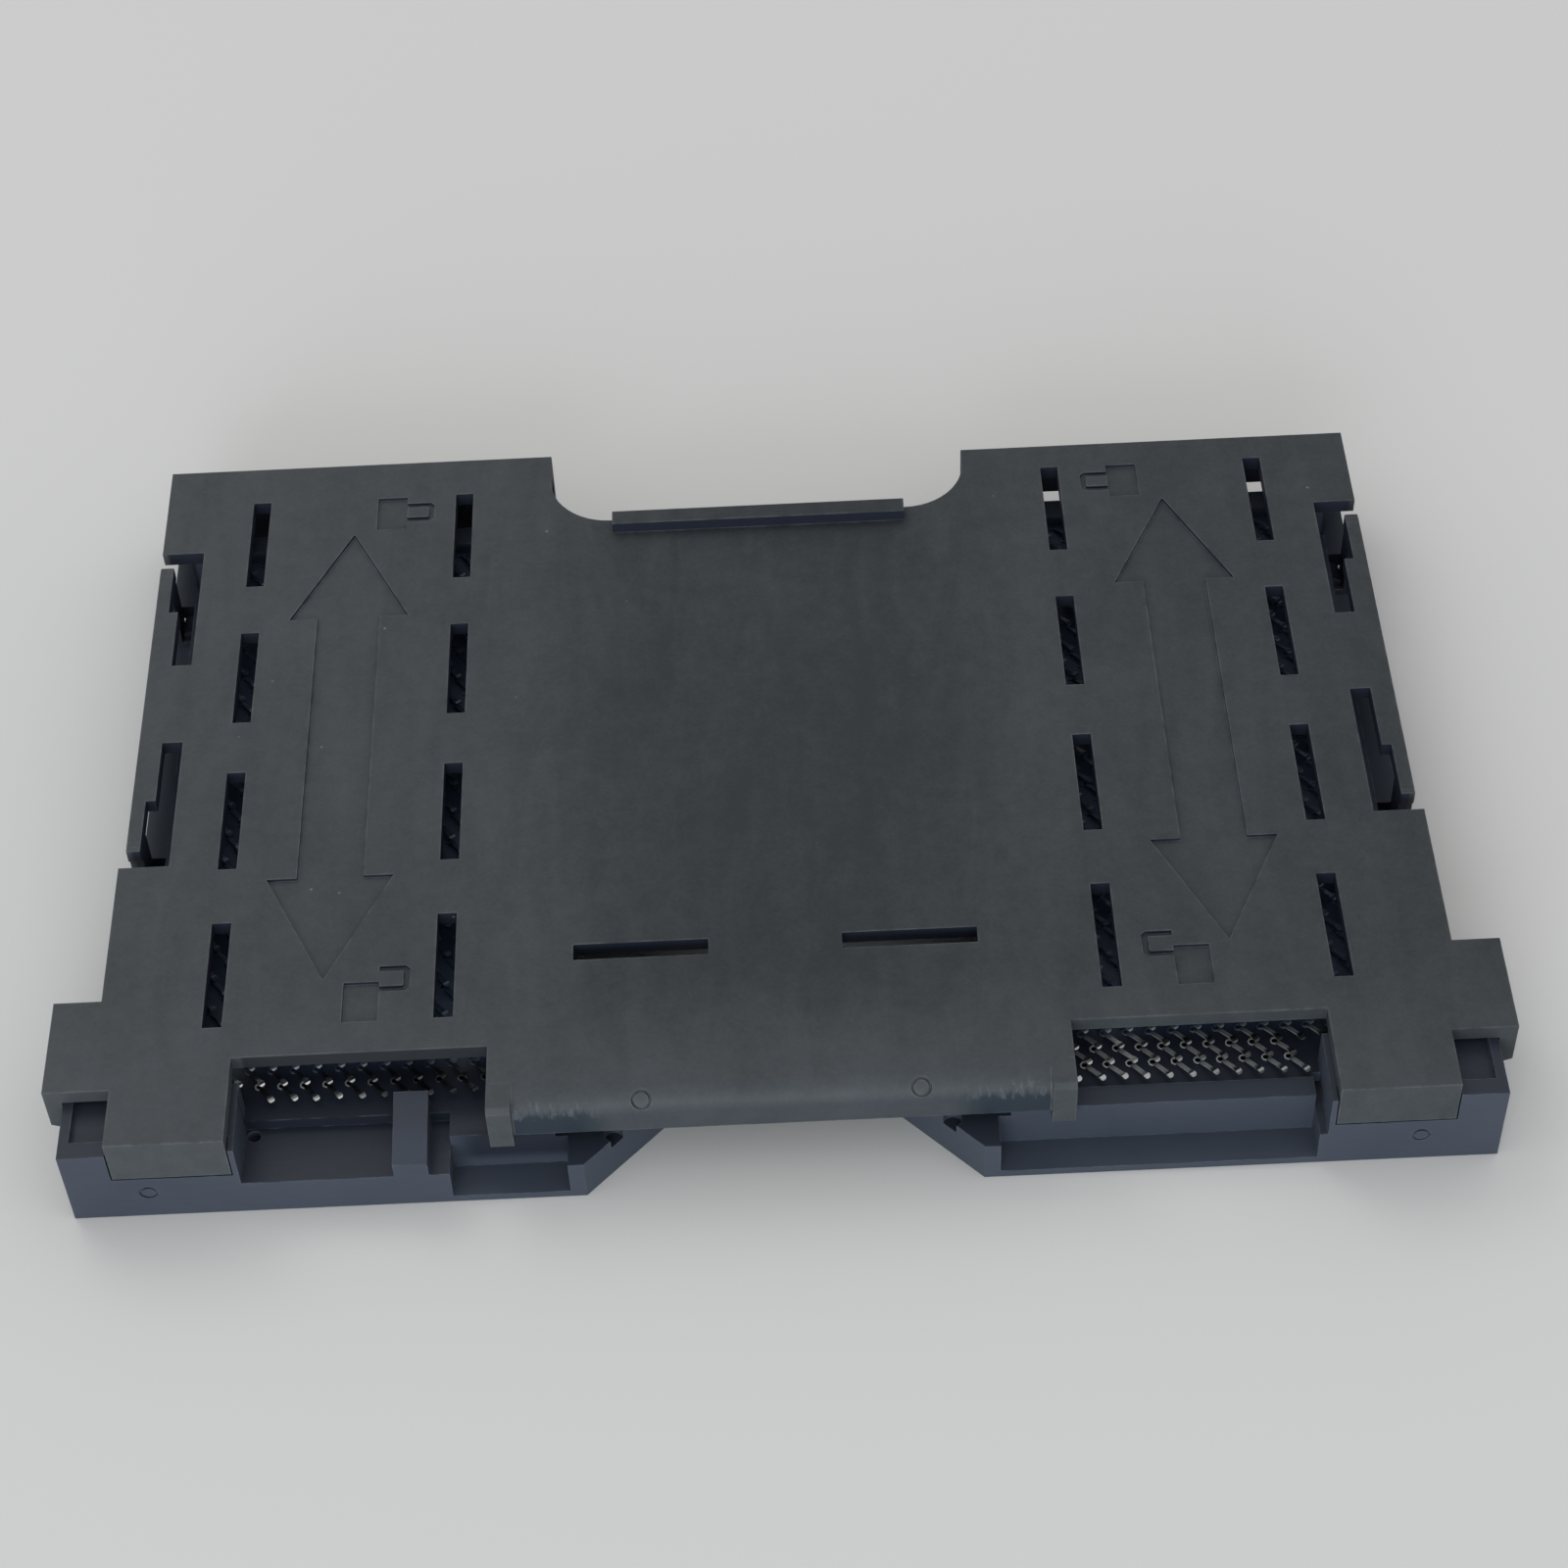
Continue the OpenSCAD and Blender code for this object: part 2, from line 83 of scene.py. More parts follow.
seam_y = box_mm("housing")[0].y
contact_rows = sorted(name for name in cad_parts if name.startswith("contact_row"))
ball_groups = sorted(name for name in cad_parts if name.startswith("solder_balls"))
floor_z = box_mm(contact_rows[0])[0].z
tip_z = box_mm(contact_rows[0])[1].z
LIP_HEIGHT, PLATE_T = 0.6, 0.74
cap_top_z = box_mm("cap")[1].z - LIP_HEIGHT
print(f"seam face at y {seam_y:.2f}, floor at z {floor_z:.2f}, cap top at z {cap_top_z:.2f}")

# %% [markdown]
# ## A workbench in millimetres
# Blender's bevel and boolean tools judge very small distances by fixed limits, and a
# 0.05 mm edge counts as nothing when it is written in metres. So each moulding is copied
# from the frame, joined up into one closed skin, worked on at a thousand times its size,
# and only then brought back to metres.

# %% Copy, join and finish
def new_object(name, mesh):
    piece = bpy.data.objects.new(name, mesh)
    bpy.context.scene.collection.objects.link(piece)
    return piece


def join_skin(bm, flat_angle=0.5):
    """Merges doubled corners and dissolves the edges inside flat faces."""
    bmesh.ops.remove_doubles(bm, verts=bm.verts, dist=0.002)
    bmesh.ops.dissolve_limit(bm, angle_limit=math.radians(flat_angle),
                             verts=bm.verts, edges=bm.edges)
    bmesh.ops.recalc_face_normals(bm, faces=bm.faces)


def skin_of(node):
    """A closed copy of a frame node, in millimetres."""
    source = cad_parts[node].data
    places = [tuple(v.co / MM) for v in source.vertices]
    faces = [tuple(p.vertices) for p in source.polygons]
    mesh = bpy.data.meshes.new(node + "_skin")
    mesh.from_pydata(places, [], faces)
    bm = bmesh.new()
    bm.from_mesh(mesh)
    join_skin(bm)
    bm.to_mesh(mesh)
    bm.free()
    return mesh


def plain_mesh(piece, name):
    """What a piece's modifiers make of it, as a mesh of its own."""
    depsgraph = bpy.context.evaluated_depsgraph_get()
    mesh = bpy.data.meshes.new_from_object(piece.evaluated_get(depsgraph))
    mesh.name = name
    return mesh


def cut(mesh, cutter_mesh):
    """The mesh with the cutter's shapes taken out of it."""
    work, cutter = new_object("work", mesh), new_object("cutter", cutter_mesh)
    boolean = work.modifiers.new("cut", "BOOLEAN")
    boolean.operation, boolean.solver, boolean.object = "DIFFERENCE", "EXACT", cutter
    boolean.use_self = True
    result = plain_mesh(work, "cut")
    bpy.data.objects.remove(work)
    bpy.data.objects.remove(cutter)
    return result


def soften(mesh, name, width, segments=2):
    """Rounds every sharp edge by a hair, as a mould does, and returns a piece in metres."""
    work = new_object("work", mesh)
    bevel = work.modifiers.new("edges", "BEVEL")
    bevel.width, bevel.segments = width, segments
    bevel.limit_method, bevel.angle_limit = "ANGLE", math.radians(28)
    bevel.use_clamp_overlap = True
    bevel.harden_normals = True
    for face in mesh.polygons:
        face.use_smooth = True
    result = plain_mesh(work, name)
    bpy.data.objects.remove(work)
    result.transform(Matrix.Scale(MM, 4))
    piece = new_object(name, result)
    print(f"{name}: {len(result.polygons)} faces")
    return piece


# %% Join two finished pieces
def absorb(piece, other):
    """Adds the other's closed shells to the piece and removes the other."""
    bm = bmesh.new()
    bm.from_mesh(piece.data)
    bm.from_mesh(other.data)
    bm.to_mesh(piece.data)
    bm.free()
    bpy.data.objects.remove(other)
    print(f"{piece.name} with what it took in: {len(piece.data.polygons)} faces")


# %% [markdown]
# ## Sunk signs
# The cap's two wings carry a double-headed arrow and two padlocks, sunk about a sixth of a
# millimetre into the surface. They tell which way the cap slides. In a mould these are raised
# islands on flat steel, so here they are flat-bottomed cutters, raised from plain outlines.

# %% Outlines of the signs
SIGN_DEPTH = 0.16
ARROW_X, ARROW_HALF_W, SHAFT_HALF_W = 20.0, 2.87, 1.5
REAR_APEX, REAR_BASE, FRONT_BASE, FRONT_APEX = 36.5, 30.8, 14.4, 8.5
HOOP_LINE, HOOP_CORNER = 0.26, 0.12


def arrow():
    """A double-headed arrow that points to the rear and to the seam face."""
    right = [(0, REAR_APEX), (ARROW_HALF_W, REAR_BASE), (SHAFT_HALF_W, REAR_BASE),
             (SHAFT_HALF_W, FRONT_BASE), (ARROW_HALF_W, FRONT_BASE), (0, FRONT_APEX)]
    left = [(-x, y) for x, y in reversed(right[1:-1])]
    return [(ARROW_X + x, y) for x, y in right + left]


def stroke(points, width):
    """The outline of a line of even width, mitred at its corners."""
    sides = ([], [])
    for i, point in enumerate(points):
        here = Vector(point)
        before = (here - Vector(points[i - 1])).normalized() if i else None
        after = (Vector(points[i + 1]) - here).normalized() if i + 1 < len(points) else None
        along = ((before or after) + (after or before)).normalized()
        normal = Vector((-along.y, along.x))
        reach = width / 2 / max(0.3, along.dot(after or before))
        sides[0].append(tuple(here + normal * reach))
        sides[1].append(tuple(here - normal * reach))
    return sides[0] + sides[1][::-1]


def padlock(body_low, body_high, hoop_low, hoop_high, free_foot=0.0):
    """A padlock on its side: a body and a hoop, whose upper foot stops short if it is open."""
    (x0, y0), (x1, y1) = body_low, body_high
    inside, end, c = x0 + 0.15, hoop_low[0] + HOOP_LINE / 2, HOOP_CORNER
    low, high = hoop_low[1] + HOOP_LINE / 2, hoop_high - HOOP_LINE / 2
    hoop = [(inside, low), (end + c, low), (end, low + c), (end, high - c), (end + c, high),
            (inside - free_foot, high)]
    return [[(x0, y0), (x1, y0), (x1, y1), (x0, y1)], stroke(hoop, HOOP_LINE)]


wing_signs = [arrow()]
wing_signs += padlock((17.45, 36.8), (18.9, 39.0), (16.1, 37.3), 38.55)
wing_signs += padlock((17.5, 6.1), (19.05, 8.25), (16.15, 7.72), 9.1, free_foot=0.15)
signs = wing_signs + [[(-x, y) for x, y in outline] for outline in wing_signs]
print("sunk outlines:", len(signs))


# %% Cutters from outlines
def raised(outlines, low, high):
    """Closed prisms over the given outlines, which are measured from the seam face."""
    bm = bmesh.new()
    for outline in outlines:
        face = bm.faces.new([bm.verts.new((x, y + seam_y, low)) for x, y in outline])
        grown = bmesh.ops.extrude_face_region(bm, geom=[face])["geom"]
        top = [v for v in grown if isinstance(v, bmesh.types.BMVert)]
        bmesh.ops.translate(bm, verts=top, vec=(0, 0, high - low))
    bmesh.ops.recalc_face_normals(bm, faces=bm.faces)
    mesh = bpy.data.meshes.new("cutters")
    bm.to_mesh(mesh)
    bm.free()
    return mesh


sign_cutter = raised(signs, cap_top_z - SIGN_DEPTH, cap_top_z + 1)
print("cutter faces:", len(sign_cutter.polygons))

# %% [markdown]
# Ejector pins push a moulding out of its tool and leave round marks where they pushed. The cap
# has two on its front shoulder, and the housing has one on each corner's front face and a
# small hole in its left ledge. Each is a short cylinder or a ring, cut into the surface.

# %% Marks of the ejector pins
MARK_SIDES = 20


def pin_marks(marks):
    """Cutters for marks, each with its middle, the way it faces, its radii and its depth."""
    bm = bmesh.new()
    for middle, facing, outer, inner, depth in marks:
        turn = Vector(facing).to_track_quat("Z", "Y").to_matrix().to_4x4()
        place = Matrix.Translation(Vector(middle) + Vector((0, seam_y, 0))) @ turn

        def circle(radius, height):
            steps = [k * math.tau / MARK_SIDES for k in range(MARK_SIDES)]
            return [bm.verts.new(place @ Vector((radius * math.cos(t), radius * math.sin(t),
                                                 height))) for t in steps]
        loops = [circle(outer, -depth), circle(outer, 0.5)]
        if inner:
            loops += [circle(inner, 0.5), circle(inner, -depth)]
        pairs = list(zip(loops, loops[1:] + (loops[:1] if inner else [])))
        for low, high in pairs:
            for k in range(MARK_SIDES):
                n = (k + 1) % MARK_SIDES
                bm.faces.new((low[k], low[n], high[n], high[k]))
        if not inner:
            bm.faces.new(loops[0][::-1])
            bm.faces.new(loops[1])
    bmesh.ops.recalc_face_normals(bm, faces=bm.faces)
    mesh = bpy.data.meshes.new("pin_marks")
    bm.to_mesh(mesh)
    bm.free()
    return mesh


FORWARD, UPWARD, SLANTED = (0, -1, 0), (0, 0, 1), (0, -1, 1)
SHOULDER_X, SHOULDER_Y, SHOULDER_Z = 6.0, 1.393, cap_top_z - 0.293
CORNER_X, CORNER_Z = 27.5, 1.7
LEDGE_HOLE = (-23.05, 2.45, 2.05)
cap_marks = pin_marks([((x, SHOULDER_Y, SHOULDER_Z), SLANTED, 0.44, 0.33, 0.16)
                       for x in (-SHOULDER_X, SHOULDER_X)])
housing_marks = pin_marks(
    [((x, 0, CORNER_Z), FORWARD, 0.42, 0.28, 0.07) for x in (-CORNER_X, CORNER_X)]
    + [(LEDGE_HOLE, UPWARD, 0.3, 0, 0.5)])
print("marks:", len(cap_marks.polygons), "and", len(housing_marks.polygons), "faces")

# %% [markdown]
# The two legs of the front flange don't stop at its rounded shoulder. They run up square to the
# cap's top, with a small bevel, and end flush with it. Each head is one profile, seen from the
# side and drawn out along the seam face. It stands a hundredth of a millimetre proud of its leg,
# so that no two faces lie in one plane.

# %% Heads of the two legs
LEG_IN, LEG_OUT, PROUD = 11.59, 12.66, 0.01
LEG_FRONT, LEG_FOOT_Z, HEAD_BACK = 0.88 - PROUD, 2.64, 2.4
HEAD_TOP_Z = cap_top_z + PROUD
HEAD_FOOT_Z, LEG_BACK = 4.7, 1.7
BEVEL_Y, BEVEL_Z = 1.1, 4.95
LEG_PROFILE = [(LEG_FRONT, LEG_FOOT_Z), (LEG_FRONT, BEVEL_Z), (BEVEL_Y, HEAD_TOP_Z),
               (HEAD_BACK, HEAD_TOP_Z), (HEAD_BACK, HEAD_FOOT_Z), (LEG_BACK, HEAD_FOOT_Z),
               (LEG_BACK, LEG_FOOT_Z)]


def bars(profile, spans):
    """Closed bars along X with the given profile, over the given spans."""
    bm = bmesh.new()
    for low, high in spans:
        ends = [[bm.verts.new((x, y + seam_y, z)) for y, z in profile] for x in (low, high)]
        for k in range(len(profile)):
            n = (k + 1) % len(profile)
            bm.faces.new((ends[0][k], ends[0][n], ends[1][n], ends[1][k]))
        bm.faces.new(ends[0])
        bm.faces.new(ends[1][::-1])
    bmesh.ops.recalc_face_normals(bm, faces=bm.faces)
    mesh = bpy.data.meshes.new("bars")
    bm.to_mesh(mesh)
    bm.free()
    return mesh


leg_heads = bars(LEG_PROFILE, [(-LEG_OUT, -LEG_IN), (LEG_IN, LEG_OUT)])
print("leg heads:", len(leg_heads.polygons), "faces")

# %% [markdown]
# The four latch arms end a quarter of a millimetre nearer to the plate than their plain bars
# do, which leaves only a thin nick beside each free end.

# %% Tips of the latch arms
ARM_IN, ARM_OUT = 28.8 - PROUD, 29.45
LATCH_MIDDLE, ARM_REACH, ARM_TIP_REACH = 25.6, 8.6, 9.15


def arm_tip(side):
    """The profile of one arm's tip, on the rear (1) or the front (-1) side of the latches."""
    near, far = (LATCH_MIDDLE + side * reach for reach in (ARM_REACH, ARM_TIP_REACH))
    top, foot = cap_top_z + PROUD, cap_top_z - PLATE_T - PROUD
    return [(near, foot), (near, top), (far, top), (far, foot)]


ARM_SPANS = [(-ARM_OUT, -ARM_IN), (ARM_IN, ARM_OUT)]
arm_tips = [bars(arm_tip(side), ARM_SPANS) for side in (-1, 1)]
print("arm tips:", 2 * len(ARM_SPANS))

# %% [markdown]
# ## The cap and the housing
# Both are injection mouldings. Their edges aren't sharp: the tool leaves a radius of a few
# hundredths of a millimetre, and that thin line of light along each edge is what makes
# plastic look moulded. The housing's edges are crisper than the cap's.

# %% Make both mouldings
CAP_EDGE, HOUSING_EDGE = 0.06, 0.05
cap_skin = cut(cut(skin_of("cap"), sign_cutter), cap_marks)
cap_piece = soften(cap_skin, "cap_moulding", CAP_EDGE)
absorb(cap_piece, soften(leg_heads, "leg_heads", CAP_EDGE))
for tips in arm_tips:
    absorb(cap_piece, soften(tips, "arm_tips", CAP_EDGE))
housing_skin = cut(skin_of("housing"), housing_marks)
housing_piece = soften(housing_skin, "housing_moulding", HOUSING_EDGE)

# %% [markdown]
# ## Wires for node trees
# Node graphs are easier to read as sums than as lists of links. `Wire` stands for one output
# socket, and adding or multiplying wires adds Math nodes. `make` adds any other node.

# %% Wire and make
def plug(tree, target, value):
    if isinstance(value, Wire):
        tree.links.new(value.socket, target)
    else:
        target.default_value = value


def make(tree, kind, settings=None, *values, **named):
    """Adds a node: its settings first, then its inputs by place and by name."""
    node = tree.nodes.new(kind)
    for key, value in (settings or {}).items():
        if key == "stops":
            ramp = node.color_ramp
            while len(ramp.elements) < len(value):
                ramp.elements.new(0.5)
            for element, (place, tint) in zip(ramp.elements, value):
                element.position = place
                element.color = (*tint, 1)
        else:
            setattr(node, key, value)
    for i, value in enumerate(values):
        plug(tree, node.inputs[i], value)
    for name, value in named.items():
        plug(tree, node.inputs[name.replace("_", " ")], value)
    return Wire(next(s for s in node.outputs if s.enabled))


class Wire:
    """One output socket, with arithmetic."""

    def __init__(self, socket):
        self.socket = socket

    def math(self, operation, *values, first=None):
        inputs = (self, *values) if first is None else (first, self)
        return make(self.socket.id_data, "ShaderNodeMath", {"operation": operation}, *inputs)

    def other(self, name):
        return Wire(self.socket.node.outputs[name])

    def between(self, low, high):
        """0 below low, 1 above high, and smooth between them."""
        return make(self.socket.id_data, "ShaderNodeMapRange",
                    {"interpolation_type": "SMOOTHSTEP"}, self, low, high)

    def band(self, rise, fall):
        """1 inside a band. It rises between the first two values and falls between the others."""
        return self.between(*rise) * (1 - self.between(*fall))

    def __add__(self, value):
        return self.math("ADD", value)

    def __sub__(self, value):
        return self.math("SUBTRACT", value)

    def __mul__(self, value):
        return self.math("MULTIPLY", value)

    def __rsub__(self, value):
        return self.math("SUBTRACT", first=value)

    __radd__, __rmul__ = __add__, __mul__


# %% [markdown]
# ## The contact field
# Each contact is stamped from thin plated sheet and bent into a leaning finger with a rounded
# tip, which the processor's pads press down. There are about 1700, so one finger is modelled
# with few faces, and Geometry Nodes put a copy at each place. The places are read from the
# frame: each of its rows holds one solid for each contact.

# %% Places of the contacts
def contact_places(row):
    """The middle of each contact in a row, found from the gaps between its corners."""
    corners = np.array([v.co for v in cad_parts[row].data.vertices]) / MM
    corners = corners[corners[:, 2] < floor_z + 0.01]
    corners = corners[np.argsort(corners[:, 0])]
    groups = np.split(corners, np.where(np.diff(corners[:, 0]) > 0.3)[0] + 1)
    return [group.mean(axis=0) for group in groups]


roots = [place for row in contact_rows for place in contact_places(row)]
print("contacts:", len(roots))

# %% [markdown]
# The solder balls hang under the floor, one for each contact. Their places come from the top
# point of each ball in the frame.

# %% Places of the solder balls
def ball_tops(group):
    corners = np.array([v.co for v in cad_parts[group].data.vertices]) / MM
    tops = corners[corners[:, 2] > corners[:, 2].max() - 0.002]
    return np.unique(tops.round(3), axis=0)


tops = np.concatenate([ball_tops(group) for group in ball_groups])
ball_low, ball_high = box_mm(ball_groups[0])
ball_r = (ball_high.z - ball_low.z) / 2
print("solder balls:", len(tops), "of radius", round(ball_r, 3))

# %% One contact finger
LEAN = math.radians(-56)
# Along the finger: distance from the root, height over the floor, width, thickness
FINGER = [
    (-0.02, 0.00, 0.20, 0.10), (0.02, 0.12, 0.20, 0.09), (0.42, 0.27, 0.19, 0.07),
    (0.84, 0.40, 0.19, 0.07), (0.98, 0.45, 0.29, 0.08), (1.09, 0.44, 0.27, 0.08),
    (1.15, 0.38, 0.16, 0.05)]
# The ring round the hole that the finger comes out of
RING_S, RING_OUT, RING_IN, RING_H, HOLE_H = -0.14, 0.205, 0.135, 0.07, 0.012
RING_SIDES = 8


def add_ring(bm):
    """A low ring with a closed bottom, which is painted black as the shade inside the hole."""
    def circle(radius, height):
        steps = [k * math.tau / RING_SIDES for k in range(RING_SIDES)]
        return [bm.verts.new((RING_S + radius * math.cos(t), radius * math.sin(t), height))
                for t in steps]
    rings = [circle(RING_OUT, 0), circle(RING_OUT, RING_H), circle(RING_IN, RING_H),
             circle(RING_IN, HOLE_H)]
    for low, high in zip(rings, rings[1:]):
        for k in range(RING_SIDES):
            n = (k + 1) % RING_SIDES
            bm.faces.new((low[k], low[n], high[n], high[k]))
    bm.faces.new(rings[0][::-1])
    bm.faces.new(rings[-1])


def finger_mesh():
    """A bent strip with a rectangular section, lofted along its middle line."""
    bm = bmesh.new()
    rings = []
    for i, (s, z, width, thick) in enumerate(FINGER):
        near, far = FINGER[max(i - 1, 0)], FINGER[min(i + 1, len(FINGER) - 1)]
        along = Vector((far[0] - near[0], 0, far[1] - near[1])).normalized()
        up = Vector((-along.z, 0, along.x)) * thick / 2
        side = Vector((0, width / 2, 0))
        middle = Vector((s, 0, z))
        rings.append([bm.verts.new(middle + a * up + b * side)
                      for a, b in ((1, 1), (1, -1), (-1, -1), (-1, 1))])
    for low, high in zip(rings, rings[1:]):
        for k in range(4):
            bm.faces.new((low[k], low[(k + 1) % 4], high[(k + 1) % 4], high[k]))
    bm.faces.new(rings[0][::-1])
    bm.faces.new(rings[-1])
    add_ring(bm)
    bmesh.ops.recalc_face_normals(bm, faces=bm.faces)
    mesh = bpy.data.meshes.new("finger")
    bm.to_mesh(mesh)
    bm.free()
    return mesh


finger = new_object("finger", finger_mesh())
print("faces in one finger:", len(finger.data.polygons))

# %% One solder ball
BALL_SIDES, BALL_RINGS = 8, 5
ball_mesh = bpy.data.meshes.new("ball")
bm = bmesh.new()
bmesh.ops.create_uvsphere(bm, u_segments=BALL_SIDES, v_segments=BALL_RINGS, radius=ball_r)
for face in bm.faces:
    face.smooth = True
bm.to_mesh(ball_mesh)
bm.free()
ball = new_object("ball", ball_mesh)
print("faces in one ball:", len(ball_mesh.polygons))


# %% A tree that puts copies on points
COPY_INPUTS = {"Geometry": "Geometry", "Copy": "Object", "Turn": "Float", "Jitter": "Float",
               "Seed": "Int", "Finish": "Material"}


def copies_tree():
    """Copies of an object on a mesh's points, all turned alike but for a little jitter."""
    tree = bpy.data.node_groups.new("copies_on_points", "GeometryNodeTree")
    for name, kind in COPY_INPUTS.items():
        tree.interface.new_socket(name, in_out="INPUT", socket_type="NodeSocket" + kind)
    tree.interface.new_socket("Geometry", in_out="OUTPUT", socket_type="NodeSocketGeometry")
    points = Wire(tree.nodes.new("NodeGroupInput").outputs["Geometry"])
    copy = make(tree, "GeometryNodeObjectInfo", None, points.other("Copy"))
    jitter = points.other("Jitter")
    wobble = [make(tree, "FunctionNodeRandomValue", {"data_type": "FLOAT"},
                   Min=jitter * -1.0, Max=jitter, Seed=points.other("Seed") + axis)
              for axis in range(3)]
    turn = make(tree, "ShaderNodeCombineXYZ", None, wobble[0], wobble[1],
                points.other("Turn") + wobble[2])
    placed = make(tree, "GeometryNodeInstanceOnPoints", None, Points=points,
                  Instance=copy.other("Geometry"), Rotation=turn)
    solid = make(tree, "GeometryNodeRealizeInstances", None, placed)
    finished = make(tree, "GeometryNodeSetMaterial", None, Geometry=solid,
                    Material=points.other("Finish"))
    output = tree.nodes.new("NodeGroupOutput")
    plug(tree, output.inputs["Geometry"], finished)
    return tree


COPIES = copies_tree()
print("nodes in the tree:", len(COPIES.nodes))


def field_of(copy, places, name, finish, turn=0.0, jitter=0.0, seed=1):
    """One plain mesh, in metres, with the copy at every place."""
    points = bpy.data.meshes.new(name + "_points")
    points.from_pydata([tuple(place) for place in places], [], [])
    work = new_object(name + "_work", points)
    nodes = work.modifiers.new("copies", "NODES")
    nodes.node_group = COPIES
    values = {"Copy": copy, "Turn": turn, "Jitter": jitter, "Seed": seed, "Finish": finish}
    for item in COPIES.interface.items_tree:
        if item.in_out == "INPUT" and item.name in values:
            nodes[item.identifier] = values[item.name]
    mesh = plain_mesh(work, name)
    bpy.data.objects.remove(work)
    mesh.transform(Matrix.Scale(MM, 4))
    piece = new_object(name, mesh)
    print(f"{name}: {len(mesh.polygons)} faces")
    return piece


# %% [markdown]
# ## Finishes
# Every finish is a small graph on Object coordinates, so it needs no image and no unwrapping.
# Colours are written as linear values. The cap is a near-neutral charcoal, matt from a finely
# eroded mould. The housing is bluer and has a little more gloss, as a liquid crystal polymer
# skins over smoothly. Some places are darker or paler than the rest. Each is a mask, made from
# where a point lies and which way its face looks.

# %% A finish and its coordinates
def finish(name, **fixed):
    """A material with one shader. Values that stay the same are set on its sockets."""
    material = bpy.data.materials.new(name)
    material.use_nodes = True
    tree = material.node_tree
    shader = next(n for n in tree.nodes if n.type == "BSDF_PRINCIPLED")
    for socket, value in fixed.items():
        shader.inputs[socket.replace("_", " ")].default_value = value
    place = make(tree, "ShaderNodeTexCoord").other("Object")
    millimetres = make(tree, "ShaderNodeVectorMath", {"operation": "SCALE"}, place, Scale=1 / MM)
    return material, tree, shader, millimetres


def across_back_up(tree, place):
    """How far a point lies across, back from the seam face and up, in millimetres."""
    x = make(tree, "ShaderNodeSeparateXYZ", None, place)
    return x, x.other("Y") - seam_y, x.other("Z")


def upwardness(tree):
    """1 where a face looks up, 0 where it stands upright and -1 where it looks down."""
    facing = make(tree, "ShaderNodeNewGeometry").other("Normal")
    return make(tree, "ShaderNodeSeparateXYZ", None, facing).other("Z")


def noise(tree, place, size, detail=2.0, rough=0.5, warp=0.0):
    """Noise whose features are about `size` millimetres across."""
    return make(tree, "ShaderNodeTexNoise", None, place, Scale=1 / size, Detail=detail,
                Roughness=rough, Distortion=warp)


def stretched(tree, place, x, y, z):
    """Coordinates for noise whose features have these lengths in millimetres."""
    sizes = (1 / x, 1 / y, 1 / z)
    return make(tree, "ShaderNodeVectorMath", {"operation": "MULTIPLY"}, place, sizes)


def shade(tree, amount, low, high):
    """A colour that goes from low to high with the amount."""
    return make(tree, "ShaderNodeValToRGB", {"stops": [(0, low), (1, high)]}, amount)


def mix(tree, amount, base, other):
    """The base colour, and the other one where the amount is 1."""
    base, other = ((*c, 1) if isinstance(c, tuple) else c for c in (base, other))
    return make(tree, "ShaderNodeMixRGB", None, amount, base, other)


def grain(tree, shader, height, depth):
    """Feeds a bump of the given depth, in millimetres, to the shader's normal."""
    bump = make(tree, "ShaderNodeBump", None, Height=height, Distance=depth * MM, Strength=1.0)
    plug(tree, shader.inputs["Normal"], bump)


def edge_mask(tree, radius):
    """1 along edges and 0 on flats, from how far a rounded normal leans from the true one."""
    rounded = make(tree, "ShaderNodeBevel", {"samples": 4}, Radius=radius * MM)
    true = make(tree, "ShaderNodeNewGeometry").other("Normal")
    match = make(tree, "ShaderNodeVectorMath", {"operation": "DOT_PRODUCT"}, rounded, true)
    return (1 - match.other("Value")).between(0.01, 0.25)


# %% [markdown]
# The cap shows how it was filled: faint clouds, and long swirls where the plastic flowed round
# the middle. Handling has left a little dust, a soft line of wear on its edges and a scuff
# low on the front flange. Painted shade makes its top darker towards the rear, in the middle
# and to the right, makes the walls of its slots darker and bluer than its top, and dims the
# flange's face a little. All the rest stays close to one charcoal. A band's two pairs of
# numbers say where it rises and where it falls, in millimetres.

# %% Cap plastic
CHARCOAL_DARK, CHARCOAL_PALE = (0.020, 0.024, 0.027), (0.054, 0.061, 0.066)
SLOT_WALL_SHADE, EDGE_OF_LEFT_OPENING = (0.006, 0.009, 0.020), (0.012, 0.012, 0.016)
SCUFF_AND_SHADE_BLUE, SCRATCHED, DUST_COLOUR = (0.013, 0.022, 0.033), (0.11, 0.125, 0.14), (0.22, 0.23, 0.24)
SCUFF_X = ((7.0, 9.0), (11.5, 11.6))
LEFT_OPENING_X, OPENING_EDGE_Y = ((-23.4, -23.2), (-12.6, -12.4)), ((3.9, 4.0), (4.4, 4.6))


